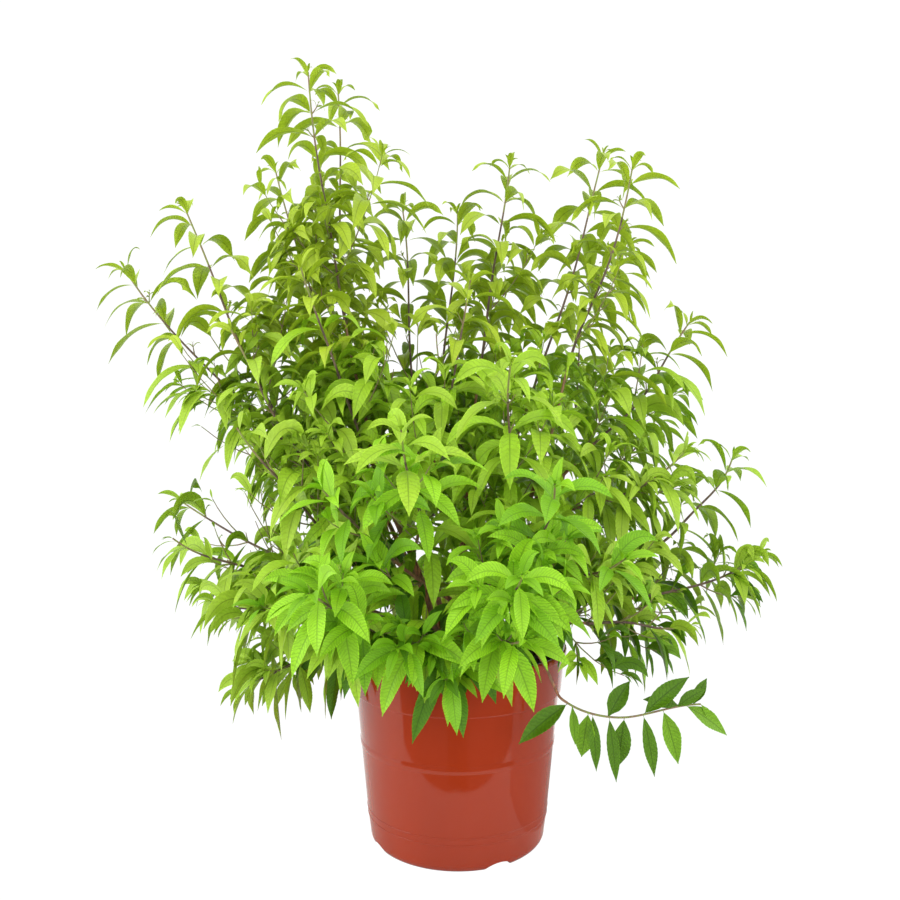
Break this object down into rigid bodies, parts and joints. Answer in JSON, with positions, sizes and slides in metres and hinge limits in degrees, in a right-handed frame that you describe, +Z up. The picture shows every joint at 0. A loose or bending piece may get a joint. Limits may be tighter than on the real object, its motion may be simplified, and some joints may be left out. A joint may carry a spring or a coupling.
{
  "type": "potted lemon verbena",
  "caption": "Bushy potted lemon verbena shrub with arching shoots of narrow bright green leaves in a round terracotta-coloured plastic nursery pot.",
  "frame": {"origin": "middle of the pot's flat underside, where it meets the surface it stands on", "axes": "+Z up; -Y towards the front of the plant as pictured; +X to the right seen from the front"},
  "size_m": [0.6769, 0.5746, 0.7514],
  "materials": {
    "pot_plastic": "smooth glossy moulded plastic, terracotta red-brown",
    "compost": "dark crumbly potting compost",
    "bark": "thin ridged tan bark, greener towards the tips",
    "foliage": "fresh yellow-green leaves, slightly rough, with sunken veins"
  },
  "bodies": {
    "root": {"bough_back_left": "bark", "bough_back_right": "bark", "bough_drooping": "bark", "bough_front_right": "bark", "bough_left_back": "bark", "bough_left_front": "bark", "bough_left_low": "bark", "bough_right": "bark", "foliage_back": "foliage", "foliage_back_hem": "foliage", "foliage_back_high": "foliage", "foliage_back_left": "foliage", "foliage_back_left_far": "foliage", "foliage_back_left_high": "foliage", "foliage_back_left_low": "foliage", "foliage_back_right_far": "foliage", "foliage_back_right_high": "foliage", "foliage_back_right_low": "foliage", "foliage_centre": "foliage", "foliage_centre_back": "foliage", "foliage_centre_spire": "foliage", "foliage_drooping": "foliage", "foliage_front_hem": "foliage", "foliage_front_high": "foliage", "foliage_front_left": "foliage", "foliage_front_right": "foliage", "foliage_front_right_hem": "foliage", "foliage_front_right_high": "foliage", "foliage_front_upper": "foliage", "foliage_left_back_high": "foliage", "foliage_left_centre_back": "foliage", "foliage_left_far": "foliage", "foliage_left_front_high": "foliage", "foliage_left_front_mid": "foliage", "foliage_left_hem": "foliage", "foliage_left_high": "foliage", "foliage_left_inner": "foliage", "foliage_left_low": "foliage", "foliage_left_low_back": "foliage", "foliage_left_mid": "foliage", "foliage_left_skirt": "foliage", "foliage_left_spire": "foliage", "foliage_left_spire_back": "foliage", "foliage_right_far": "foliage", "foliage_right_front": "foliage", "foliage_right_high": "foliage", "foliage_right_low": "foliage", "foliage_right_mid": "foliage", "foliage_right_skirt": "foliage", "foliage_right_spire": "foliage", "foliage_right_spire_back": "foliage", "pot": "pot_plastic", "soil": "compost", "stem_back": "bark", "stem_centre": "bark", "stem_front": "bark", "stem_left": "bark", "stem_left_tall": "bark", "stem_right_front": "bark", "stem_right_tall": "bark"}
  },
  "joints": []
}
